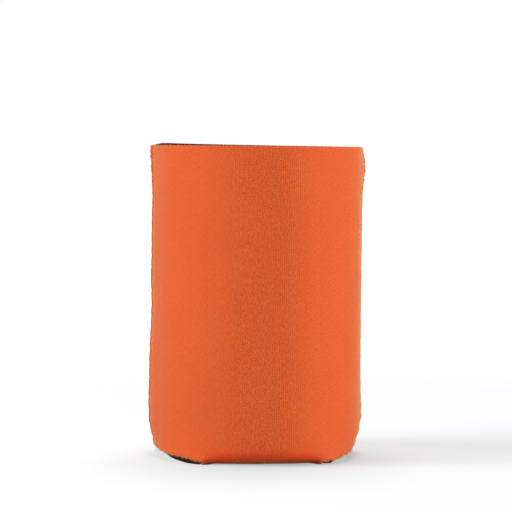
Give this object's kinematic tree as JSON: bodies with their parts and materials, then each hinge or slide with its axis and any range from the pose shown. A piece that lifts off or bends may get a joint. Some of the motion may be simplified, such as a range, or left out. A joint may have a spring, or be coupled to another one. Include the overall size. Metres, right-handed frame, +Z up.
{
  "type": "can cooler sleeve",
  "caption": "Soft foam sleeve that slips over a drinks can to keep it cold, folded under its base and sewn up at both sides.",
  "frame": {"origin": "centre of the sleeve's footprint, on the plane it stands on", "axes": "+Z up along the pocket, -Y to the front, +X to the right-hand side seam"},
  "size_m": [0.074, 0.071, 0.1059],
  "materials": {
    "jersey_foam": "matte orange knit jersey laminated on dark foam",
    "seam_thread": "orange overlock thread"
  },
  "bodies": {
    "root": {"sleeve_body": "jersey_foam", "left_side_seam": "seam_thread", "right_side_seam": "seam_thread"}
  },
  "joints": []
}
